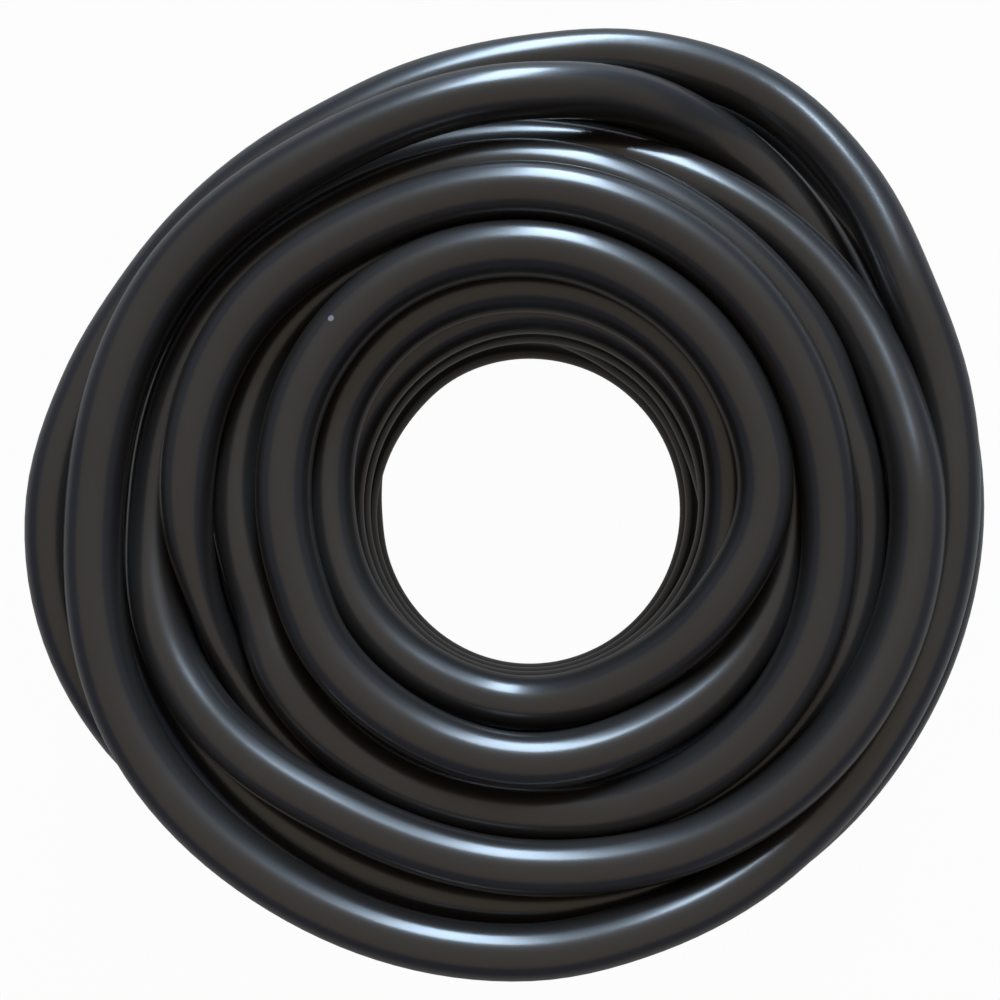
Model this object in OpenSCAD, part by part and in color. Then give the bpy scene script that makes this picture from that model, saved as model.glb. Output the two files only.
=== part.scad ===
// Soaker hose: one porous rubber hose wound into a loose flat coil with an open
// middle, and the fittings on its two ends, which lie on the ground under the turns.
// +Z is the coil's axis, and the origin is on the ground in the middle of the part.

/* [Hose] */
// Outside diameter of the hose
hose_d = 16; // [16:0.25:17]
// Wall of the hose
hose_wall = 2; // [1.5:0.25:2.5]
// Gap from one turn to the next
turn_gap = 0.6; // [0.5:0.1:0.8]
// Length of the plain round hose at each end
hose_end_l = 27; // [25:1:30]

/* [Clamp sleeves] */
// Length of each sleeve
sleeve_l = 17; // [12:1:20]
// Wall of each sleeve
sleeve_wall = 2; // [1.5:0.25:2.5]

/* [Stems] */
// Wall of both stems inside the hose
stem_wall = 1.8; // [1.5:0.1:2.2]
// Length of stem past the sleeve
stem_past = 1; // [0.5:0.5:3]
// Thickness of the collar that the hose butts against
collar_t = 2; // [1.5:0.5:3]

/* [Inlet nut] */
// Diameter at the roots of the nut's thread
nut_bore = 27.2; // [27:0.1:27.4]
// Wall of the nut outside its thread
nut_wall = 2.6; // [2.2:0.1:3]
// Depth of the thread in front of the washer
nut_thread_l = 10.5; // [9:0.5:12]
// Thickness of the nut's back wall
nut_back = 3.2; // [2.5:0.1:4]
// Step from the roots of the thread in to the washer's seat
seat_step = 0.2; // [0.1:0.05:0.4]
// Number of ribs on the nut
nut_ribs = 18; // [12:2:28]
// Height of the grip ribs on nut and cap
rib_h = 0.8; // [0.5:0.1:1.2]
// Width of the grip ribs
rib_w = 1.6; // [1:0.1:2]
// Plain band past each end of the ribs
rib_in = 1.5; // [1:0.25:2.5]
// Wall of the neck that the nut turns on, outside the restrictor
neck_wall = 2; // [1.5:0.25:2.5]
// Clearance on the radius between the nut and the flange that holds it
flange_gap = 1.4; // [0.8:0.2:2]
// Thickness of that flange
flange_t = 2.5; // [2:0.1:3.5]
// Play between nut and stem along the axis
nut_play = 0.3; // [0.2:0.1:0.5]
// Running clearance on the radius
run_gap = 0.08; // [0.05:0.01:0.1]

/* [Washers and restrictor] */
// Thickness of both washers
washer_t = 3; // [2:0.25:3.5]
// Clearance on the radius round each washer
washer_gap = 0.4; // [0.3:0.1:0.6]
// Width of the ring that the inlet washer leaves round the restrictor
washer_lap = 1.5; // [1:0.25:2.5]
// Width of the restrictor's seat round the stem's bore
restrictor_lap = 2.3; // [1.5:0.1:2.5]
// Thickness of the flow restrictor
restrictor_t = 1.2; // [1:0.1:1.6]
// Hole of the flow restrictor
restrictor_hole = 3; // [2:0.5:5]

/* [Outlet] */
// Outside diameter of the male thread
thread_d = 26.9; // [26.5:0.1:27]
// Length of the male thread
thread_l = 11; // [9:0.5:12]
// Wall of the outlet inside its thread
outlet_wall = 4; // [3:0.25:5]
// Height of the shoulder behind the thread
shoulder_step = 1.5; // [1:0.25:2]
// Thickness of the shoulder
shoulder_t = 2; // [1.5:0.5:3]
// Wall of the cap outside its thread
cap_wall = 2.2; // [2:0.1:2.6]
// Thickness of the cap's end
cap_end = 2.5; // [2:0.25:3.5]
// Width of the cap washer that lies over the open mouth
mouth_lap = 2.5; // [2:0.25:4]
// Number of ribs on the cap
cap_ribs = 14; // [12:2:24]

/* [Hidden] */

black_rubber = [0.07, 0.07, 0.08];
black_plastic = [0.10, 0.10, 0.11];
grey_metal = [0.62, 0.63, 0.65];
washer_black = [0.13, 0.12, 0.12];
white_plastic = [0.85, 0.85, 0.82];

// --- Diameters of the fittings, from the hose and the threads outwards ----
stem_d = hose_d - 2 * hose_wall;
stem_bore = stem_d - 2 * stem_wall;
sleeve_d = hose_d + 2 * sleeve_wall;
collar_d = sleeve_d;
restrictor_d = stem_bore + 2 * restrictor_lap;
neck_d = restrictor_d + 2 * neck_wall;
seat_d = nut_bore - 2 * seat_step;
flange_d = seat_d - 2 * flange_gap;
nut_d = nut_bore + 2 * (nut_wall + rib_h);
mouth_d = thread_d - 2 * outlet_wall;
shoulder_d = thread_d + 2 * shoulder_step;
cap_bore = thread_d + 2 * run_gap;
cap_d = cap_bore + 2 * (cap_wall + rib_h);

// --- The winding's path ---------------------------------------------------
// Lengths along the path's radius and height are in turns laid side by side:
// one lay is the hose and the gap to the next turn.
lay = hose_d + turn_gap;
rings = 24;                     // rings for each full turn
sides = 6;
facet_in = cos(180 / sides);    // flats of the six-sided section
ground_h = hose_d * (facet_in / 2 - 0.1);    // hose centre over the ground
fitting_h = max(nut_d, cap_d) / 2;           // the fittings lie on the ground too

// The turn that crosses the nut lies on it, nut_row under the top row, and so
// the nut sets how far the top row is over the ground.
nut_row = 3.05;
cross_dip = 1;                  // the turn lies a little beside the nut's middle
cross_h = nut_d + hose_d / 2 - cross_dip;
rows_down = nut_row + (cross_h - ground_h) / lay;
end_z = (fitting_h - ground_h) / lay - rows_down;

// Columns of the lower turns count outwards from the open middle, rows count
// down from the top, and the hose climbs from its inlet end in this order.
cells = [[5, 6], [4, 6], [3, 6], [2, 6], [1, 6], [1, 5], [1, 4], [1, 3], [1, 2]];
column_1 = 3.77;
column_step = 1.03;
row_step = rows_down / (cells[0][1] - 1);
oval = 0.04;                    // the open middle is a little out of round
oval_at = 80;
inlet_at = 262;                 // angle of the inlet end
outlet_at = 182;                // angle of the outlet end
end_r = 8.1;                    // radius of both ends
first_shift = 500;              // angle where the hose first moves to the next cell
climb_shift = 1920;             // where it leaves the ground
climb_step = 920 / 3;           // from one climbing shift to the next
shift_w = 80;                   // angle that a shift takes
top_at = 2880;                  // angle where the loose top turns begin
tuck_at = climb_shift + 25;     // it tucks in there, as it climbs over the turn below
tuck_w = 25;

function shift_at(i) = i < 4 ? first_shift + 360 * i : climb_shift + climb_step * (i - 4);
function ease(u) = let (t = min(max(u, 0), 1)) t * t * (3 - 2 * t);
function moved(q, c, i = 0) = i > len(cells) - 2 ? 0
    : ease((q - shift_at(i)) / shift_w + 0.5) * (cells[i + 1][c] - cells[i][c])
      + moved(q, c, i + 1);
function lower_r(q) = column_1 + column_step * (cells[0][0] - 1 + moved(q, 0))
    + oval * cos(2 * (q - oval_at)) - 0.1 * exp(-pow((q - tuck_at) / tuck_w, 2));
function lower_z(q) = -row_step * (cells[0][1] - 1 + moved(q, 1));

// Loose turns on the top, then down the outside: one row for each turn, with
// stations of angle in degrees, radius and height under the top in lays.
top_turns = [
    [[30, 3.85, -1], [60, 3.95, -1], [90, 4, -0.95], [120, 4.05, -0.95],
     [150, 3.95, -0.95], [180, 3.75, -0.9], [210, 3.72, -0.84], [240, 3.67, -0.74],
     [270, 3.7, -0.72], [300, 3.65, -0.42], [330, 3.8, -0.07]],
    [[0, 4.15, 0], [30, 4.2, 0], [60, 4.3, 0], [90, 4.45, 0], [120, 4.55, 0],
     [150, 4.5, 0], [180, 4.4, 0], [200, 4.4, 0], [215, 4.5, 0], [240, 4.55, 0],
     [270, 4.65, 0], [300, 4.65, -0.29], [330, 4.8, -0.7]],
    [[0, 4.85, -0.95], [30, 4.9, -1], [60, 4.95, -1], [90, 5.15, -1],
     [120, 5.3, -1], [150, 5.5, -0.95], [180, 5.4, -0.8], [200, 5.3, -0.75],
     [215, 5.5, -0.55], [240, 5.65, -0.65], [270, 5.7, -0.6], [300, 5.75, -0.15],
     [330, 5.6, 0]],
    [[0, 5.3, 0], [30, 5.25, 0], [60, 5.35, 0], [90, 5.5, 0], [120, 5.65, 0],
     [150, 6.05, 0], [180, 6.15, -0.1], [200, 6.2, -0.6], [215, 6.35, -1.1],
     [230, 6.45, -1.2], [270, 6.5, -1.25], [300, 6.5, -1.15], [330, 6.4, -0.95]],
    [[0, 6.15, -0.96], [15, 5.94, -0.98], [30, 5.96, -0.97], [45, 5.95, -0.95], [60, 6, -0.95],
     [90, 6.2, -0.95], [120, 6.35, -1], [150, 6.75, -0.95], [180, 6.95, -0.95],
     [200, 7.08, -0.5], [215, 6.93, -0.17], [240, 6.5, 0], [270, 6.55, 0],
     [300, 6.8, 0], [330, 6.93, -0.04]],
    [[0, 6.95, -0.28], [15, 6.94, -0.74], [30, 6.97, -1.2], [45, 6.95, -1.5], [60, 6.87, -1.68],
     [75, 6.83, -1.86], [90, 6.88, -1.9], [120, 7.15, -1.85], [150, 7.5, -1.9],
     [180, 7.8, -1.8], [200, 7.8, -1.5], [215, 7.65, -1.2], [240, 7.45, -0.85],
     [270, 7.45, -0.9], [285, 7.5, -1.1], [300, 7.55, -1.5], [315, 7.55, -1.9],
     [330, 7.5, -2]],
    [[0, 7.3, -2], [30, 7.42, -2.32], [45, 7.7, -2.35], [60, 7.93, -2.15],
     [75, 7.79, -1.2], [90, 7.43, -0.47], [120, 7.2, -0.1], [150, 7.55, 0],
     [180, 7.75, 0], [210, 8.2, 0], [240, 8.15, 0], [270, 8.05, 0],
     [285, 7.9, -0.1], [300, 7.85, -0.45], [315, 7.8, -0.85], [330, 7.75, -0.95]],
    [[0, 7.8, -0.95], [15, 7.94, -1.08], [30, 8.1, -1.15], [45, 8.5, -1.6], [60, 9.05, -2.05],
     [75, 8.75, -1.95], [90, 8.35, -1.5], [105, 8.05, -1.3], [120, 7.9, -1.15],
     [150, 8.15, -1.05], [165, 8.45, -0.95], [180, 8.8, -0.9], [195, 8.95, -1.15],
     [210, 8.8, -1.5], [225, 8.4, -1.9], [240, 8.15, -2], [270, 8.1, -2],
     [300, 8.3, -2.2], [315, 8.4, -2.55], [330, 8.4, -2.6]],
    [[0, 8.4, -2.5], [30, 8.42, -2.75], [45, 8.5, -3.1], [60, 8.65, -3.15],
     [75, 8.5, -3.1], [90, 8.25, -2.9], [120, 8.2, -2.6], [150, 8.35, -2.6],
     [180, 8.4, -2.65], [210, 8.3, -2.8], [240, 8.2, -3.05], [270, 8.2, -3.05],
     [300, 8.25, -3.35], [330, 8.3, -3.75]],
    [[0, 8.3, -3.75], [30, 8.2, -3.95], [45, 8.15, -4.1], [60, 8.15, -4.15],
     [90, 8.15, -4.1], [120, 8.2, -4.15], [150, 8.15, -4.3],
     [outlet_at - 10, end_r, end_z], [outlet_at, end_r, end_z]]
];

stations = concat(
    [[inlet_at, end_r, end_z], [inlet_at + 10, end_r, end_z],
     [inlet_at + 28, 7.95, 0.1 - rows_down], [inlet_at + 43, 7.9, -rows_down]],
    [for (q = [340:20:top_at]) [q, lower_r(q), lower_z(q)]],
    [for (k = [0:len(top_turns) - 1], s = top_turns[k]) [top_at + 360 * k + s[0], s[1], s[2]]]);
last = len(stations) - 1;
path_end = stations[last][0];

// A smooth curve through the stations: c is 1 for the radius, 2 for the height.
function slope(i, c) = let (a = stations[max(i - 1, 0)], b = stations[min(i + 1, last)])
    (b[c] - a[c]) / (b[0] - a[0]);
function find_station(q, i) = i >= last - 1 || stations[i + 1][0] > q ? i
    : find_station(q, i + 1);
function curve(q, c, i) = let (a = stations[i], b = stations[i + 1], h = b[0] - a[0],
    t = (q - a[0]) / h)
    (1 + 2 * t) * (1 - t) * (1 - t) * a[c] + t * (1 - t) * (1 - t) * h * slope(i, c)
    + t * t * (3 - 2 * t) * b[c] - t * t * (1 - t) * h * slope(i + 1, c);
function spot(q) = let (i = find_station(q, 0), r = lay * curve(q, 1, i))
    [r * cos(q), r * sin(q), lay * (curve(q, 2, i) + rows_down) + ground_h];

// Where one top turn dives between two others it is pinched narrow.
pinch_at = top_at + 3 * 360 + 202;
pinch_w = 16;
function width(q) = 1 - 0.4 * exp(-pow((q - pinch_at) / pinch_w, 2));

turn_count = (path_end - inlet_at) / 360;
steps = ceil(turn_count * rings);
function angle(i) = inlet_at + (path_end - inlet_at) * i / steps;
centres = [for (i = [0:steps]) spot(angle(i))];
widths = [for (i = [0:steps]) width(angle(i))];

// Middle of the winding in plan, which is put over the origin
span = [for (a = [0, 1]) [min([for (p = centres) p[a]]), max([for (p = centres) p[a]])]];
middle = [(span[0][0] + span[0][1]) / 2, (span[1][0] + span[1][1]) / 2];

function along(i) = let (a = centres[max(i - 1, 0)], b = centres[min(i + 1, steps)])
    i == 0 ? [-sin(inlet_at), cos(inlet_at), 0]
    : i == steps ? [-sin(path_end), cos(path_end), 0]
    : (b - a) / norm(b - a);
function ring(p, t, q, w) = let (
    o = [cos(q), sin(q), 0], u0 = o - t * (o * t), u = u0 / norm(u0), v = cross(t, -u))
    [for (k = [0:sides - 1]) let (a = 360 * k / sides,
        x = p + (w * cos(a) * u + sin(a) * v) * hose_d / 2)
        [x[0], x[1], max(x[2], 0)]];
straight_in = centres[0] - hose_d * along(0);
straight_out = centres[steps] + hose_d * along(steps);
all_rings = concat(
    [ring(straight_in, along(0), inlet_at, 1)],
    [for (i = [0:steps]) ring(centres[i], along(i), angle(i), widths[i])],
    [ring(straight_out, along(steps), path_end, 1)]);

// Least gap between one turn and another, on the path's points
turn_gaps = [for (i = [0:steps]) for (j = [i + rings / 2:steps])
    norm(centres[i] - centres[j]) - hose_d / 2 * (widths[i] + widths[j])];
wound_l = [for (i = [1:steps]) norm(centres[i] - centres[i - 1])];
echo(least_gap = min(turn_gaps), turns = turn_count, wound_length = wound_l * [for (l = wound_l) 1]);

// --- Fittings, along the hose's own axis ----------------------------------
// Zero is the cut end of the hose, and plus is away from the hose.
stem_l = sleeve_l + stem_past;
nut_from = collar_t + nut_play;
flange_from = nut_from + nut_back + nut_play;
flange_to = flange_from + flange_t;
nut_to = flange_to + washer_t + nut_thread_l;
thread_from = collar_t + shoulder_t;
thread_to = thread_from + thread_l;
face_gap = 0.1;                 // between parts that turn on each other
cap_from = thread_from + face_gap;
cap_floor = thread_to + washer_t + 2 * face_gap;
cap_to = cap_floor + cap_end;

module place(p, t) {
    translate([p[0] - middle[0], p[1] - middle[1], fitting_h])
        rotate([0, 90, atan2(t[1], t[0])])
            translate([0, 0, hose_d + hose_end_l])
                children();
}
module at_inlet() { place(centres[0], -along(0)) children(); }
module at_outlet() { place(centres[steps], along(steps)) children(); }

module tube(d_out, d_in, from, to) {
    translate([0, 0, from])
        difference() {
            cylinder(d = d_out, h = to - from, $fn = 96);
            translate([0, 0, -1])
                cylinder(d = d_in, h = to - from + 2, $fn = 96);
        }
}
module ribs(count, d_over, from, to) {
    for (k = [0:count - 1])
        rotate([0, 0, 360 * k / count])
            translate([d_over / 2 - 2 * rib_h, -rib_w / 2, from])
                cube([2 * rib_h, rib_w, to - from]);
}

// Where the two ends' fittings sit, for the mount and the joints
function seat(p, t, u) = [p[0] - middle[0], p[1] - middle[1], fitting_h] + t * (hose_d + hose_end_l + u);
echo(inlet_mouth = seat(centres[0], -along(0), nut_to), inlet_axis = -along(0));
echo(outlet_seat = seat(centres[steps], along(steps), thread_to), outlet_axis = along(steps));

// --- Sub-parts ------------------------------------------------------------
module hose_winding() {
    n = len(all_rings);
    color(black_rubber)
        translate([-middle[0], -middle[1], 0])
            polyhedron(
                points = [for (r = all_rings) for (p = r) p],
                faces = concat(
                    [for (k = [1:sides - 2]) [0, k + 1, k]],
                    [for (i = [0:n - 2]) for (k = [0:sides - 1]) let (
                        a = i * sides + k, b = i * sides + (k + 1) % sides)
                        each [[a, b, a + sides], [b, b + sides, a + sides]]],
                    [for (k = [1:sides - 2]) let (e = (n - 1) * sides) [e, e + k, e + k + 1]]),
                convexity = 20);
}

// The turns that are buried inside the winding, as one plain ring, which fills
// the columns between the inner wall of turns and the outer one
core_gap = 0.06;                // lays from the turns round it
half = hose_d / lay / 2 + core_gap;
core_in = column_1 + half;
core_out = column_1 + 3 * column_step + half;
function core_at(r, z) = [lay * r, lay * (z + rows_down) + ground_h];
module hose_core() {
    color(black_rubber)
        translate([-middle[0], -middle[1], 0])
            rotate_extrude($fn = 96)
                polygon([
                    core_at(core_in, half - rows_down),
                    core_at(core_out, half - rows_down),
                    core_at(core_out, -3.15),
                    core_at(6.7, -2 - half),
                    core_at(6.3, -2 - half),
                    core_at(5.9, -1.3 - half),
                    core_at(core_in, -1.05 - half)]);
}

module hose_inlet_end() {
    color(black_rubber) at_inlet() tube(hose_d, stem_d, -hose_end_l, 0);
}
module hose_outlet_end() {
    color(black_rubber) at_outlet() tube(hose_d, stem_d, -hose_end_l, 0);
}

module inlet_sleeve() {
    color(grey_metal) at_inlet() tube(sleeve_d, hose_d, -sleeve_l, 0);
}
module outlet_sleeve() {
    color(grey_metal) at_outlet() tube(sleeve_d, hose_d, -sleeve_l, 0);
}

module inlet_stem() {
    color(black_plastic) at_inlet()
        difference() {
            union() {
                translate([0, 0, -stem_l]) cylinder(d = stem_d, h = stem_l + 1, $fn = 96);
                cylinder(d = collar_d, h = collar_t, $fn = 96);
                cylinder(d = neck_d, h = flange_to, $fn = 96);
                translate([0, 0, flange_from]) cylinder(d = flange_d, h = flange_t, $fn = 96);
            }
            translate([0, 0, -stem_l - 1])
                cylinder(d = stem_bore, h = stem_l + flange_to + 2, $fn = 96);
            translate([0, 0, flange_to - restrictor_t])
                cylinder(d = restrictor_d, h = restrictor_t + 1, $fn = 96);
        }
}

module inlet_nut() {
    color(black_plastic) at_inlet()
        difference() {
            union() {
                translate([0, 0, nut_from])
                    cylinder(d = nut_d - 2 * rib_h, h = nut_to - nut_from, $fn = 96);
                ribs(nut_ribs, nut_d, nut_from + rib_in, nut_to - rib_in);
            }
            translate([0, 0, nut_from - 1])
                cylinder(d = neck_d + 2 * run_gap, h = nut_to, $fn = 96);
            translate([0, 0, nut_from + nut_back])
                cylinder(d = seat_d, h = nut_to, $fn = 96);
            translate([0, 0, flange_to + washer_t])
                cylinder(d = nut_bore, h = nut_to, $fn = 96);
        }
}

module inlet_washer() {
    color(washer_black) at_inlet()
        tube(seat_d - 2 * washer_gap, restrictor_d + 2 * washer_lap,
             flange_to, flange_to + washer_t);
}

module flow_restrictor() {
    color(white_plastic) at_inlet()
        tube(restrictor_d, restrictor_hole, flange_to - restrictor_t, flange_to);
}

module outlet_stem() {
    color(black_plastic) at_outlet()
        difference() {
            union() {
                translate([0, 0, -stem_l]) cylinder(d = stem_d, h = stem_l + 1, $fn = 96);
                cylinder(d = collar_d, h = collar_t + 1, $fn = 96);
                translate([0, 0, collar_t]) cylinder(d = shoulder_d, h = shoulder_t, $fn = 96);
                translate([0, 0, collar_t]) cylinder(d = thread_d, h = thread_to - collar_t, $fn = 96);
            }
            translate([0, 0, -stem_l - 1])
                cylinder(d = stem_bore, h = stem_l + thread_to + 2, $fn = 96);
            translate([0, 0, thread_from])
                cylinder(d = mouth_d, h = thread_to, $fn = 96);
        }
}

module end_cap() {
    color(black_plastic) at_outlet()
        difference() {
            union() {
                translate([0, 0, cap_from])
                    cylinder(d = cap_d - 2 * rib_h, h = cap_to - cap_from, $fn = 96);
                ribs(cap_ribs, cap_d, cap_from + rib_in, cap_to - rib_in);
            }
            translate([0, 0, cap_from - 1])
                cylinder(d = cap_bore, h = cap_floor - cap_from + 1, $fn = 96);
        }
}

module cap_washer() {
    color(washer_black) at_outlet()
        tube(cap_bore - 2 * washer_gap, mouth_d - 2 * mouth_lap,
             thread_to + face_gap, thread_to + face_gap + washer_t);
}

hose_winding();
hose_core();
hose_inlet_end();
hose_outlet_end();
inlet_stem();
inlet_sleeve();
inlet_nut();
inlet_washer();
flow_restrictor();
outlet_stem();
outlet_sleeve();
end_cap();
cap_washer();
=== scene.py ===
import bpy
import numpy as np
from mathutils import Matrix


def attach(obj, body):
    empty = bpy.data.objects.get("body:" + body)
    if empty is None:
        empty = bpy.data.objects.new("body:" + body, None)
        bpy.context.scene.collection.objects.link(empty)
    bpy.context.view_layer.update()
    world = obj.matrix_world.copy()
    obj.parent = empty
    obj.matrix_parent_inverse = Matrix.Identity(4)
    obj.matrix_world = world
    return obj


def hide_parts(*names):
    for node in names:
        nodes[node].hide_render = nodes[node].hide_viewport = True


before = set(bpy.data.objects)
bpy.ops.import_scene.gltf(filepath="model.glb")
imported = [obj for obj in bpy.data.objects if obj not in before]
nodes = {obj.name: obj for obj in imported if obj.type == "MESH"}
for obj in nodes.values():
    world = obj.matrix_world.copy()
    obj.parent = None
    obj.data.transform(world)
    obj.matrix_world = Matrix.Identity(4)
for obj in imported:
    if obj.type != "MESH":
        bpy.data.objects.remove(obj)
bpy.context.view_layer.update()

# --- Hose ------------------------------------------------------------------
# One porous rubber hose, 15 m long, wound from its inlet end up through the
# buried turns to the loose top turns and down the outside to its outlet end.
# It is extruded from ground-up tyre rubber and pushed over the two stems.
hose_d, turn_gap = 0.016, 0.0006
lay = hose_d + turn_gap          # one hose and the gap to the next turn
skin_r = 0.00825                 # radius that is shown, with the turns just touching
flat_in = np.cos(np.radians(30))    # flats of the plain solid, which has six sides
pressed = 0.1                    # share of its diameter that is pressed flat on the ground
ground_h = hose_d * (flat_in / 2 - pressed)    # centre of the lowest turns
nut_d = 0.034                    # the widest fitting, which one turn crosses
fitting_h = nut_d / 2            # the fittings' axis over the ground
nut_row, cross_dip = 3.05, 0.001    # that turn's row, and how far it dips beside the nut
cross_h = nut_d + hose_d / 2 - cross_dip
rows_down = nut_row + (cross_h - ground_h) / lay    # top row to ground row, in lays
bore_at = np.array([0.003647, -0.002385])    # axis of the open middle
inlet_at, outlet_at, end_r = 262, 182, 8.1   # the two ends: angles, and radius in lays
end_z = (fitting_h - ground_h) / lay - rows_down
end_l = hose_d + 0.027           # straight hose at each end, out to its cut end
end_rings = 8                    # rings on each of these

# Columns of the buried turns count outwards, rows count down from the top.
column_1, column_step, row_step = 3.77, 1.03, rows_down / 5
cells = [(5, 6), (4, 6), (3, 6), (2, 6), (1, 6), (1, 5), (2, 5), (3, 5), (4, 5),
         (4, 4), (3, 4), (3, 3), (2, 3), (2, 4), (1, 4), (1, 3), (1, 2)]
buried_at, station_step = 340, 20    # angles of their stations
first_shift, shift_w = 500, 80   # angle of the first shift, and the angle that one takes
corner_lead = 20                 # how much earlier it comes round a corner
oval, oval_at = 0.04, 80         # the open middle is a little out of round
tuck_at, tuck_w, tuck_in = 1945, 25, 0.1     # it tucks in where it climbs over a turn

# Loose top turns, then down the outside: one row for each turn, with stations
# of angle in degrees, radius and height under the top in lays.
top_turns = [
    [(30, 3.85, -1), (60, 3.95, -1), (90, 4, -0.95), (120, 4.05, -0.95),
     (150, 3.95, -0.95), (180, 3.75, -0.9), (210, 3.72, -0.84), (240, 3.67, -0.74),
     (270, 3.7, -0.72), (300, 3.65, -0.42), (330, 3.8, -0.07)],
    [(0, 4.15, 0), (30, 4.2, 0), (60, 4.3, 0), (90, 4.45, 0), (120, 4.55, 0),
     (150, 4.5, 0), (180, 4.4, 0), (200, 4.4, 0), (215, 4.5, 0), (240, 4.55, 0),
     (270, 4.65, 0), (300, 4.65, -0.29), (330, 4.8, -0.7)],
    [(0, 4.85, -0.95), (30, 4.9, -1), (60, 4.95, -1), (90, 5.15, -1),
     (120, 5.3, -1), (150, 5.5, -0.95), (180, 5.4, -0.8), (200, 5.3, -0.75),
     (215, 5.5, -0.55), (240, 5.65, -0.65), (270, 5.7, -0.6), (300, 5.75, -0.15),
     (330, 5.6, 0)],
    [(0, 5.3, 0), (30, 5.25, 0), (60, 5.35, 0), (90, 5.5, 0), (120, 5.65, 0),
     (150, 6.05, 0), (180, 6.15, -0.1), (200, 6.2, -0.6), (215, 6.35, -1.1),
     (230, 6.45, -1.2), (270, 6.5, -1.25), (300, 6.5, -1.15), (330, 6.4, -0.95)],
    [(0, 6.15, -0.96), (15, 5.94, -0.98), (30, 5.96, -0.97), (45, 5.95, -0.95), (60, 6, -0.95),
     (90, 6.2, -0.95), (120, 6.35, -1), (150, 6.75, -0.95), (180, 6.95, -0.95),
     (200, 7.08, -0.5), (215, 6.93, -0.17), (240, 6.5, 0), (270, 6.55, 0),
     (300, 6.8, 0), (330, 6.93, -0.04)],
    [(0, 6.95, -0.28), (15, 6.94, -0.74), (30, 6.97, -1.2), (45, 6.95, -1.5), (60, 6.87, -1.68),
     (75, 6.83, -1.86), (90, 6.88, -1.9), (120, 7.15, -1.85), (150, 7.5, -1.9),
     (180, 7.8, -1.8), (200, 7.8, -1.5), (215, 7.65, -1.2), (240, 7.45, -0.85),
     (270, 7.45, -0.9), (285, 7.5, -1.1), (300, 7.55, -1.5), (315, 7.55, -1.9),
     (330, 7.5, -2)],
    [(0, 7.3, -2), (30, 7.42, -2.32), (45, 7.7, -2.35), (60, 7.93, -2.15),
     (75, 7.79, -1.2), (90, 7.43, -0.47), (120, 7.2, -0.1), (150, 7.55, 0),
     (180, 7.75, 0), (210, 8.2, 0), (240, 8.15, 0), (270, 8.05, 0),
     (285, 7.9, -0.1), (300, 7.85, -0.45), (315, 7.8, -0.85), (330, 7.75, -0.95)],
    [(0, 7.8, -0.95), (15, 7.94, -1.08), (30, 8.1, -1.15), (45, 8.66, -1.6), (60, 9.07, -2.0),
     (75, 8.86, -1.9), (90, 8.38, -1.6), (105, 8.07, -1.33), (120, 7.9, -1.15),
     (150, 8.15, -1.05), (165, 8.45, -0.95), (180, 8.8, -0.9), (195, 8.95, -1.15),
     (210, 8.8, -1.5), (225, 8.4, -1.9), (240, 8.15, -2), (270, 8.1, -2),
     (300, 8.3, -2.2), (315, 8.4, -2.55), (330, 8.4, -2.6)],
    [(0, 8.4, -2.5), (30, 8.42, -2.75), (45, 8.5, -3.1), (60, 8.65, -3.15),
     (75, 8.5, -3.1), (90, 8.25, -2.9), (120, 8.2, -2.6), (150, 8.35, -2.6),
     (180, 8.4, -2.65), (210, 8.3, -2.8), (240, 8.2, -3.05), (270, 8.2, -3.05),
     (300, 8.25, -3.35), (330, 8.3, -3.75)],
    [(0, 8.3, -3.75), (30, 8.2, -3.95), (45, 8.15, -4.1), (60, 8.15, -4.15),
     (90, 8.15, -4.1), (120, 8.2, -4.15), (150, 8.15, -4.3),
     (outlet_at - 10, end_r, end_z), (outlet_at, end_r, end_z)],
]


def step(x, width):
    """Smooth step from nothing to one over a width, centred on zero: three times t
    squared less two times t cubed."""
    t = np.clip(x / width + 0.5, 0, 1)
    return t * t * (3 - 2 * t)


def bell(x, width):
    """Bell curve: e to the power of minus the square of x over the width."""
    return np.exp(-(x / width) ** 2)


def buried_turns():
    """Stations of the turns from the inlet end to the top, and the angle where the
    top starts: the hose keeps to a cell for a turn, then steps to the next."""
    shifts = [first_shift]
    for before, here, after in zip(cells, cells[1:], cells[2:]):
        straight = np.array_equal(np.subtract(here, before), np.subtract(after, here))
        shifts.append(shifts[-1] + 360 - (0 if straight else corner_lead))
    top_at = shifts[-1] + shift_w // 2
    angle = np.arange(buried_at, top_at + 1, station_step)
    cell = np.full((len(angle), 2), cells[0], float)
    for here, after, at in zip(cells, cells[1:], shifts):
        cell += step(angle - at, shift_w)[:, None] * np.subtract(after, here)
    radius = (column_1 + column_step * (cell[:, 0] - 1)
              + oval * np.cos(np.radians(2 * (angle - oval_at)))
              - tuck_in * bell(angle - tuck_at, tuck_w))
    height = -row_step * (cell[:, 1] - 1)
    start = [(inlet_at, end_r, end_z), (inlet_at + 10, end_r, end_z),
             (inlet_at + 28, 7.95, 0.1 - rows_down), (inlet_at + 43, 7.9, -rows_down)]
    return np.vstack([start, np.column_stack([angle, radius, height])]), top_at


def smooth(stations, angle):
    """Cubic curve through the stations. Its slope at each station is the slope from
    the one before to the one after, and it is level at both ends."""
    x, y = stations[:, 0], stations[:, 1:]
    slope = np.zeros_like(y)
    slope[1:-1] = (y[2:] - y[:-2]) / (x[2:] - x[:-2])[:, None]
    i = np.clip(np.searchsorted(x, angle, side="right") - 1, 0, len(x) - 2)
    h = (x[i + 1] - x[i])[:, None]
    t = (angle - x[i])[:, None] / h
    return ((1 + 2 * t) * (1 - t) ** 2 * y[i] + t * (1 - t) ** 2 * h * slope[i]
            + t ** 2 * (3 - 2 * t) * y[i + 1] - t ** 2 * (1 - t) * h * slope[i + 1])


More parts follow.
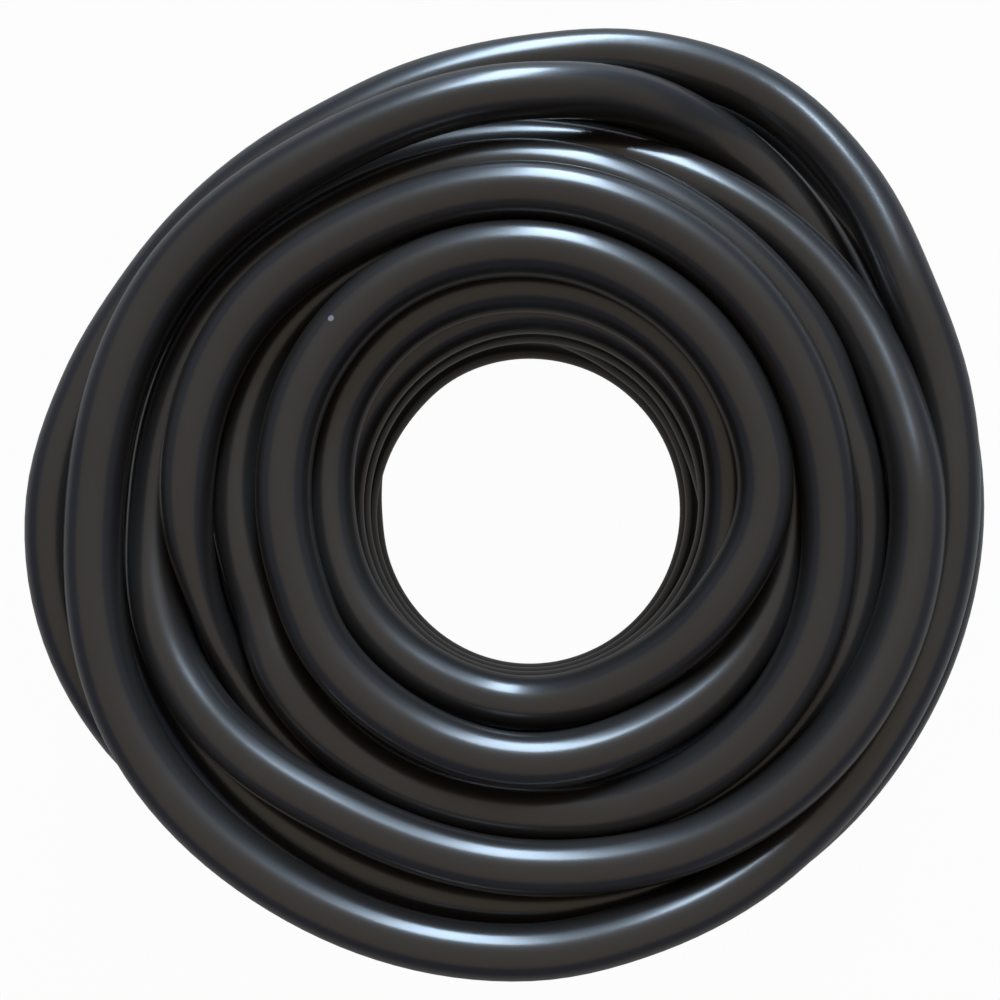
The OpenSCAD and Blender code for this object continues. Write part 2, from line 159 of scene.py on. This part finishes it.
def hose_path(stations, rings_a_turn):
    """Centre line in metres and its angles: radius times the cosine and the sine of
    the angle round the open middle, and a straight stretch at both ends."""
    first, last = stations[0, 0], stations[-1, 0]
    angle = np.linspace(first, last, int(np.ceil((last - first) / 360 * rings_a_turn)) + 1)
    r, z = smooth(stations, angle).T
    turn = np.radians(angle)
    line = np.column_stack([lay * r * np.cos(turn) + bore_at[0],
                            lay * r * np.sin(turn) + bore_at[1],
                            lay * (z + rows_down) + ground_h])
    ahead = np.column_stack([-np.sin(turn), np.cos(turn), np.zeros_like(turn)])
    far = np.linspace(1, 0, end_rings + 1)[:-1, None] * end_l
    line = np.vstack([line[0] - far * ahead[0], line, line[-1] + far[::-1] * ahead[-1]])
    return line, np.pad(angle, end_rings, mode="edge")


def tube(line, angle, radius, width, sides):
    """Grid of rings across the line: radius times the width times the cosine goes
    outwards from the coil's axis, radius times the sine goes up, and no point
    goes under the ground. The rings run so that the faces point outwards."""
    along = np.gradient(line, axis=0)
    along /= np.linalg.norm(along, axis=1)[:, None]
    turn = np.radians(angle)
    out = np.column_stack([np.cos(turn), np.sin(turn), np.zeros_like(turn)])
    out -= along * (out * along).sum(1)[:, None]
    out /= np.linalg.norm(out, axis=1)[:, None]
    up = np.cross(out, along)
    a = np.linspace(0, 2 * np.pi, sides, endpoint=False)[None, :, None]
    points = (line[:, None] + radius * width[:, None, None] * np.cos(a) * out[:, None]
              + radius * np.sin(a) * up[:, None])
    points[..., 2] = np.maximum(points[..., 2], 0)
    return points[:, ::-1]


def grid_mesh(name, points, caps=True):
    """Piece from a grid of rings that close on themselves, with a band of faces
    from each ring to the next. It has a flat face on each end, or without caps
    its last ring is joined to its first."""
    rows, count = points.shape[:2]
    row, column = np.meshgrid(np.arange(rows - 1 if caps else rows), np.arange(count),
                              indexing="ij")
    next_row, next_column = (row + 1) % rows, (column + 1) % count
    corners = [row * count + column, row * count + next_column,
               next_row * count + next_column, next_row * count + column]
    faces = np.stack(corners, -1).reshape(-1, 4).tolist()
    if caps:
        faces += [list(range(count))[::-1], list(range((rows - 1) * count, rows * count))]
    mesh = bpy.data.meshes.new(name)
    mesh.from_pydata(points.reshape(-1, 3), [], faces)
    mesh.update()
    mesh.polygons.foreach_set("use_smooth", np.ones(len(mesh.polygons), bool))
    piece = bpy.data.objects.new(name, mesh)
    bpy.context.collection.objects.link(piece)
    return piece


rings_a_turn, hose_sides = 156, 24
lower, top_at = buried_turns()
upper = [(top_at + 360 * k + a, r, z) for k, row in enumerate(top_turns) for a, r, z in row]
line, angle = hose_path(np.vstack([lower, upper]), rings_a_turn)
pinch_at = top_at + 3 * 360 + 202    # a turn dives between two others and is squeezed
pinch_w, pinched = 16, 0.4
width = 1 - pinched * bell(angle - pinch_at, pinch_w)
hose = grid_mesh("hose", tube(line, angle, skin_r, width, hose_sides))


class Value:
    """A number socket. With + and *, either way round, it adds a Math node."""

    def __init__(self, finish, socket):
        self.finish = finish
        self.socket = socket

    def math(self, operation, other):
        return self.finish.value("ShaderNodeMath", {"operation": operation}, {0: self, 1: other})

    def __add__(self, other):
        return self.math("ADD", other)

    def __mul__(self, other):
        return self.math("MULTIPLY", other)

    __radd__ = __add__
    __rmul__ = __mul__


class Finish:
    """The node tree of a material or a world, with one method that adds any node."""

    def __init__(self, owner):
        self.owner = owner
        self.owner.use_nodes = True
        self.tree = owner.node_tree
        self.tree.nodes.clear()

    def node(self, kind, settings=None, values=None):
        """Node of one kind: its settings come first, then a number, a colour or a
        link for each socket that is named."""
        made = self.tree.nodes.new(kind)
        for key, setting in (settings or {}).items():
            setattr(made, key, setting)
        for key, value in (values or {}).items():
            if isinstance(value, Value):
                value = value.socket
            if isinstance(value, bpy.types.NodeSocket):
                self.tree.links.new(value, made.inputs[key])
            else:
                made.inputs[key].default_value = value
        return made

    def value(self, kind, settings=None, values=None, output=0):
        """One output of such a node, to work on with + and *."""
        return Value(self, self.node(kind, settings, values).outputs[output])

    def surface(self, values):
        """The material, with the shader and the output that end its tree."""
        shader = self.node("ShaderNodeBsdfPrincipled", None, values)
        self.node("ShaderNodeOutputMaterial", None, {"Surface": shader.outputs[0]})
        return self.owner


def hose_rubber(speck_and_glint, ragged):
    """Black rubber: a little brown, fine pores in the bump, faint dusty patches
    that change how glossy it is, and light flecks where a spot is near: the first
    a speck of dirt, the second a painted highlight where a glint falls. The dust
    also makes the flecks ragged."""
    rubber = Finish(bpy.data.materials.new("hose_rubber"))
    place = rubber.node("ShaderNodeTexCoord").outputs["Object"]
    dust = rubber.value("ShaderNodeTexNoise", None,
                        {"Vector": place, "Scale": 18.0, "Detail": 3.0})
    pores = rubber.value("ShaderNodeTexNoise", None,
                         {"Vector": place, "Scale": 1400.0, "Detail": 2.0})
    speck_and_glint_masks = []
    for spot, size in speck_and_glint:
        away = rubber.value("ShaderNodeVectorMath", {"operation": "DISTANCE"},
                            {0: place, 1: spot}, output="Value")
        speck_and_glint_masks.append(rubber.value("ShaderNodeMath", {"operation": "LESS_THAN"},
                                   {0: away + 2 * ragged * dust, 1: size + ragged}))
    clean = rubber.node("ShaderNodeMix", {"data_type": "RGBA"},
                        {"Factor": dust, "A": (0.019, 0.017, 0.016, 1),
                         "B": (0.029, 0.026, 0.024, 1)})
    # Light grey at the spots: a dirt speck at the first, a painted glint highlight at the
    # second.
    colour = rubber.node("ShaderNodeMix", {"data_type": "RGBA"},
                         {"Factor": sum(speck_and_glint_masks), "A": clean.outputs["Result"],
                          "B": (0.24, 0.24, 0.27, 1)})
    bump = rubber.node("ShaderNodeBump", None,
                       {"Strength": 0.06, "Distance": 0.0002, "Height": pores})
    return rubber.surface({"Base Color": colour.outputs["Result"],
                           "Roughness": 0.27 + 0.10 * dust, "Coat Weight": 0.6,
                           "Coat Roughness": 0.18, "Normal": bump.outputs[0]})


# The place and the radius of each light fleck: the first is a speck of dirt,
# the second a painted highlight where a glint falls.
speck_and_glint = [((-0.0542, 0.0495, 0.0994), 0.0009), ((0.1083, 0.0628, 0.0737), 0.0006)]
hose.data.materials.append(hose_rubber(speck_and_glint, ragged=0.0008))
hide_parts("hose_winding", "hose_core", "hose_inlet_end", "hose_outlet_end")
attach(hose, "hose")


def moulded(name, dark, light, rough, metal=0.0):
    """Moulded or rolled surface: a fine even grain in the bump, and faint marks of
    handling that make it lighter and duller."""
    finish = Finish(bpy.data.materials.new(name))
    place = finish.node("ShaderNodeTexCoord").outputs["Object"]
    marks = finish.value("ShaderNodeTexNoise", None,
                         {"Vector": place, "Scale": 90.0, "Detail": 4.0})
    grain = finish.value("ShaderNodeTexNoise", None,
                         {"Vector": place, "Scale": 2600.0, "Detail": 1.0})
    colour = finish.node("ShaderNodeMix", {"data_type": "RGBA"},
                         {"Factor": marks, "A": dark, "B": light})
    bump = finish.node("ShaderNodeBump", None,
                       {"Strength": 0.08, "Distance": 0.0001, "Height": grain})
    return finish.surface({"Base Color": colour.outputs["Result"],
                           "Roughness": rough + 0.15 * marks, "Metallic": metal,
                           "Normal": bump.outputs[0]})


black_plastic = moulded("fitting_plastic", (0.012, 0.012, 0.013, 1), (0.024, 0.024, 0.026, 1),
                        rough=0.32)
seal_rubber = moulded("washer_rubber", (0.02, 0.018, 0.018, 1), (0.035, 0.032, 0.03, 1),
                      rough=0.5)
white_plastic = moulded("restrictor_plastic", (0.62, 0.62, 0.57, 1), (0.74, 0.74, 0.70, 1),
                        rough=0.35)
for name, material in (("inlet_stem", black_plastic), ("inlet_washer", seal_rubber),
                       ("cap_washer", seal_rubber), ("flow_restrictor", white_plastic)):
    nodes[name].data.materials.clear()
    nodes[name].data.materials.append(material)

# --- Sleeves ---------------------------------------------------------------
# A plain metal sleeve over each end of the hose, rolled from sheet. Three
# grooves are pressed into it, which clamp the hose on the stem inside. Places
# on this and all later fittings are in millimetres out from the hose's end.
mm = 0.001
inlet, outlet = 0, -1            # first and last point of the hose's line
sleeve_l, sleeve_bore, sleeve_r, sleeve_sides = 17, 8, 10, 96
groove_at, groove_w, groove_depth = (-4.5, -8.5, -12.5), 0.9, 0.6
sleeve_metal = moulded("sleeve_metal", (0.50, 0.51, 0.52, 1), (0.62, 0.63, 0.64, 1),
                       rough=0.24, metal=1.0)
corner_points = 6                # on each rounded corner of an outline
side_share = 0.45                # the most that a rounded corner takes of a side
longest, shortest = 0.35, 0.03   # steps along an outline


def outline(corners, closed=True, fillet=0.4):
    """Corners of (place along the axis, radius) in millimetres. Each is rounded
    by a quadratic curve, and the whole line is cut so that no step is longer
    than the longest."""
    c = np.array(corners, float)
    ends = []
    for way in (1, -1):
        side = np.roll(c, way, axis=0) - c
        far = np.linalg.norm(side, axis=1)[:, None]
        ends.append((c + side / far * np.minimum(fillet, side_share * far))[:, None])
    t = np.linspace(0, 1, corner_points)[None, :, None]
    curve = (1 - t) ** 2 * ends[0] + 2 * t * (1 - t) * c[:, None] + t ** 2 * ends[1]
    curve = curve.reshape(-1, 2)
    if closed:
        curve = np.vstack([curve, curve[:1]])
    else:
        curve = np.vstack([c[:1], curve[corner_points:-corner_points], c[-1:]])
    run = np.append(0, np.cumsum(np.linalg.norm(np.diff(curve, axis=0), axis=1)))
    cuts = np.union1d(run, np.arange(0, run[-1], longest))
    cuts = cuts[np.append(True, np.diff(cuts) > shortest)]
    points = np.column_stack([np.interp(cuts, run, curve[:, k]) for k in (0, 1)])
    return points[:-1] if closed else points


def turned(name, points, end, sides, shape, caps=False):
    """Outline swept round the axis of one end of the hose: its radius times the
    cosine goes sideways and times the sine goes up. What shape gives for a
    place, a radius and an angle is added to the radius."""
    away = line[end] - (line[1] if end == inlet else line[-2])
    axis = away / np.linalg.norm(away)
    side, up = np.array([-axis[1], axis[0], 0]), np.array([0, 0, 1])
    place, radius = points[:, :1], points[:, 1:]
    a = np.linspace(0, 2 * np.pi, sides, endpoint=False)[None, :]
    radius = (radius + shape(place, radius, a)) * mm
    grid = (line[end] + mm * place[..., None] * axis + (radius * np.cos(a))[..., None] * side
            + (radius * np.sin(a))[..., None] * up)
    return grid_mesh(name, grid, caps)


def crimp(place, radius, a):
    """Grooves pressed into the outside, each a bell curve along the sleeve."""
    outside = radius > (sleeve_bore + sleeve_r) / 2
    return -groove_depth * sum(bell(place - at, groove_w) for at in groove_at) * outside


sleeve_line = outline([(-sleeve_l, sleeve_bore), (-sleeve_l, sleeve_r), (0, sleeve_r),
                       (0, sleeve_bore)])
sleeves = {}
for end, name in ((inlet, "inlet_sleeve"), (outlet, "outlet_sleeve")):
    sleeves[end] = turned(name + "_crimped", sleeve_line, end, sleeve_sides, crimp)
    sleeves[end].data.materials.append(sleeve_metal)
    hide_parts(name)
    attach(sleeves[end], "hose")

# --- Inlet nut -------------------------------------------------------------
# A nut moulded in black plastic, with grip ribs along its outside and a female
# thread in its mouth. Behind the thread it has a seat for the washer and for the
# flange of the inlet stem, which holds the nut on while it turns on the neck.
nut_back, nut_mouth = 2.3, 21.8
nut_r, nut_bore = 16.2, 13.6     # under the ribs, and at the thread's roots
seat_back, seat_front, seat_r = 5.5, 11.3, 13.4
neck_hole = 8.58                 # radius, round the stem's neck
nut_ribs, nut_sides = 18, 288
rib_h, rib_half_w = 0.8, 0.8
rib_inset, rib_round = 1.5, 0.7  # short of both ends, and the width of the rounding
thread_pitch = 25.4 / 11.5       # garden hose thread: eleven and a half turns to the inch
thread_depth, thread_fade = 0.6, 1.2
thread_back, thread_front = 11.6, 21.4    # a little inside the bore's ends
near, bore_near = 0.05, 0.02     # this close to a radius, a point is on its surface


def ribs(place, radius, a, count, base, start, stop):
    """Grip ribs round the outside, with the base as its radius: a smooth step up
    and down across each rib, and another at both of its ends."""
    off = np.abs((a * count / (2 * np.pi)) % 1 - 0.5) * 2 * np.pi * base / count
    across = step(rib_half_w - off, rib_round)
    along = (step(place - start - rib_inset, rib_round)
             * step(stop - rib_inset - place, rib_round))
    return rib_h * across * along * (radius > base - near)


def thread(place, a, start, stop):
    """Thread, from nothing at its root to one at its crest: the square root of a
    cosine wave that moves along by one pitch in a turn. Both its ends fade out."""
    wave = 0.5 + 0.5 * np.cos(2 * np.pi * (place / thread_pitch - a / (2 * np.pi)))
    return np.sqrt(wave) * step(place - start, thread_fade) * step(stop - place, thread_fade)


def nut_shape(place, radius, a):
    """Ribs outside, and a thread that stands in from the bore."""
    in_bore = np.abs(radius - nut_bore) < bore_near
    return (ribs(place, radius, a, nut_ribs, nut_r, nut_back, nut_mouth)
            - thread_depth * thread(place, a, thread_back, thread_front) * in_bore)


nut_line = outline([(nut_back, neck_hole), (nut_back, nut_r), (nut_mouth, nut_r),
                    (nut_mouth, nut_bore), (seat_front, nut_bore), (seat_front, seat_r),
                    (seat_back, seat_r), (seat_back, neck_hole)])
nut = turned("inlet_nut_ribbed", nut_line, inlet, nut_sides, nut_shape)
nut.data.materials.append(black_plastic)
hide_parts("inlet_nut")
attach(nut, "inlet_nut")

# --- Outlet stem -----------------------------------------------------------
# A stem moulded in black plastic: a spigot inside the hose, a collar, a wider
# shoulder, and a male thread round an open mouth that the cap closes.
spigot_l, spigot_r, water_r = 18, 6, 4.2
collar_front, collar_r = 2, 10
shoulder_front, shoulder_r = 4, 14.95
crest_r, mouth_front, mouth_r = 13.45, 15, 9.45
stem_fillet, stem_sides = 0.25, 144
run_out = 0.2                    # past the shoulder, where the thread is cut from


def stem_shape(place, radius, a):
    """The outside is at the thread's crests, so all between them is cut down."""
    threads = thread(place, a, shoulder_front, mouth_front)
    threaded = (place > shoulder_front + run_out) * (radius > crest_r - near)
    return -thread_depth * (1 - threads) * threaded


stem_line = outline([(-spigot_l, water_r), (-spigot_l, spigot_r), (0, spigot_r), (0, collar_r),
                     (collar_front, collar_r), (collar_front, shoulder_r),
                     (shoulder_front, shoulder_r), (shoulder_front, crest_r),
                     (mouth_front, crest_r), (mouth_front, mouth_r), (shoulder_front, mouth_r),
                     (shoulder_front, water_r)], fillet=stem_fillet)
stem = turned("outlet_stem_threaded", stem_line, outlet, stem_sides, stem_shape)
stem.data.materials.append(black_plastic)
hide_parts("outlet_stem")
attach(stem, "hose")

# --- End cap ---------------------------------------------------------------
# A cap moulded in black plastic, with grip ribs like the nut's. It screws over
# the outlet's thread and presses its washer on the mouth, which closes the hose.
cap_mouth, cap_floor, cap_top = 4.1, 18.2, 20.7
cap_r, cap_bore = 15.73, 13.53   # under the ribs, and inside
cap_ribs, cap_sides = 14, 224
pole_r = 0.05                    # radius of the flat faces that close it on its axis


def cap_shape(place, radius, a):
    """Ribs all round the outside."""
    return ribs(place, radius, a, cap_ribs, cap_r, cap_mouth, cap_top)


cap_line = outline([(cap_floor, pole_r), (cap_floor, cap_bore), (cap_mouth, cap_bore),
                    (cap_mouth, cap_r), (cap_top, cap_r), (cap_top, pole_r)], closed=False)
cap = turned("end_cap_ribbed", cap_line, outlet, cap_sides, cap_shape, caps=True)
cap.data.materials.append(black_plastic)
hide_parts("end_cap")
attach(cap, "end_cap")

# --- Floor -----------------------------------------------------------------
# A plain pale floor under the coil, painted, which takes its shadow. It shows
# white to the camera, and faintly white in what is glossy.
floor_half, floor_h = 4.0, -0.0002
floor_white = 0.975              # of what the camera sees, the rest is the lit paint
floor_mesh = bpy.data.meshes.new("floor")
floor_mesh.from_pydata([(x * floor_half, y * floor_half, floor_h)
                        for x, y in ((-1, -1), (1, -1), (1, 1), (-1, 1))], [], [(0, 1, 2, 3)])
floor = bpy.data.objects.new("floor", floor_mesh)
bpy.context.collection.objects.link(floor)


def seen(finish, glossy_share):
    """One where the camera sees this straight or through glass, and a share of one
    where a glossy surface reflects it."""
    camera, glass, glossy = [finish.value("ShaderNodeLightPath", output="Is %s Ray" % kind)
                             for kind in ("Camera", "Transmission", "Glossy")]
    return camera + glass + glossy_share * glossy


white = {"Color": (1, 1, 1, 1), "Strength": 1.0}
paint = Finish(bpy.data.materials.new("floor_paint"))
pale = paint.node("ShaderNodeBsdfDiffuse", None, {"Color": (0.3, 0.28, 0.27, 1)})
glow = paint.node("ShaderNodeEmission", None, white)
mixed = paint.node("ShaderNodeMixShader", None,
                   {0: floor_white * seen(paint, 0.12), 1: pale.outputs[0], 2: glow.outputs[0]})
paint.node("ShaderNodeOutputMaterial", None, {"Surface": mixed.outputs[0]})
floor_mesh.materials.append(paint.owner)

# --- Room and lamps --------------------------------------------------------
# A plain room: dim bluish walls that show white like the floor, a cool window
# at the back, and a warm pale ceiling over all.
room = Finish(bpy.data.worlds.new("room"))
bpy.context.scene.world = room.owner
dim = room.node("ShaderNodeBackground", None, {"Color": (0.25, 0.45, 1.0, 1), "Strength": 0.13})
bright = room.node("ShaderNodeBackground", None, white)
mixed = room.node("ShaderNodeMixShader", None,
                  {0: seen(room, 0.08), 1: dim.outputs[0], 2: bright.outputs[0]})
room.node("ShaderNodeOutputWorld", None, {"Surface": mixed.outputs[0]})
aim_h = 0.05                     # the lamps are aimed at the middle of the coil


def lamp(name, angle_down, turn, distance, size, power, colour):
    """Area lamp on a sphere round the coil, aimed at its middle. It is angle_down
    degrees from straight up, and turn degrees round the axis from +X."""
    data = bpy.data.lights.new(name, "AREA")
    data.shape = "RECTANGLE"
    data.size, data.size_y = size
    data.energy, data.color = power, colour
    a, t = np.radians(angle_down), np.radians(turn)
    lamp_object = bpy.data.objects.new(name, data)
    lamp_object.location = (distance * np.sin(a) * np.cos(t), distance * np.sin(a) * np.sin(t),
                            distance * np.cos(a) + aim_h)
    lamp_object.rotation_euler = (a, 0, t + np.pi / 2)
    bpy.context.collection.objects.link(lamp_object)


lamp("window", 61, 82.5, 1.6, size=(0.36, 1.1), power=33, colour=(0.62, 0.80, 1.0))
lamp("ceiling", 0, 90, 1.7, size=(4.4, 4.4), power=21, colour=(1.0, 0.77, 0.40))

# --- Camera ----------------------------------------------------------------
# It looks straight down from over the open middle, a little to the front. Its
# height over the ground sets how much smaller the lower turns show.
camera_h, camera_front = 0.4768, 0.01975
view = bpy.data.cameras.new("camera")
view.sensor_width = 36
view.lens = 47.0
view.shift_x, view.shift_y = -0.031, 0.066   # the coil's place in the frame
camera = bpy.data.objects.new("camera", view)
camera.location = (bore_at[0], bore_at[1] - camera_front, camera_h)
bpy.context.collection.objects.link(camera)
bpy.context.scene.camera = camera
bpy.context.scene.view_settings.view_transform = "Standard"
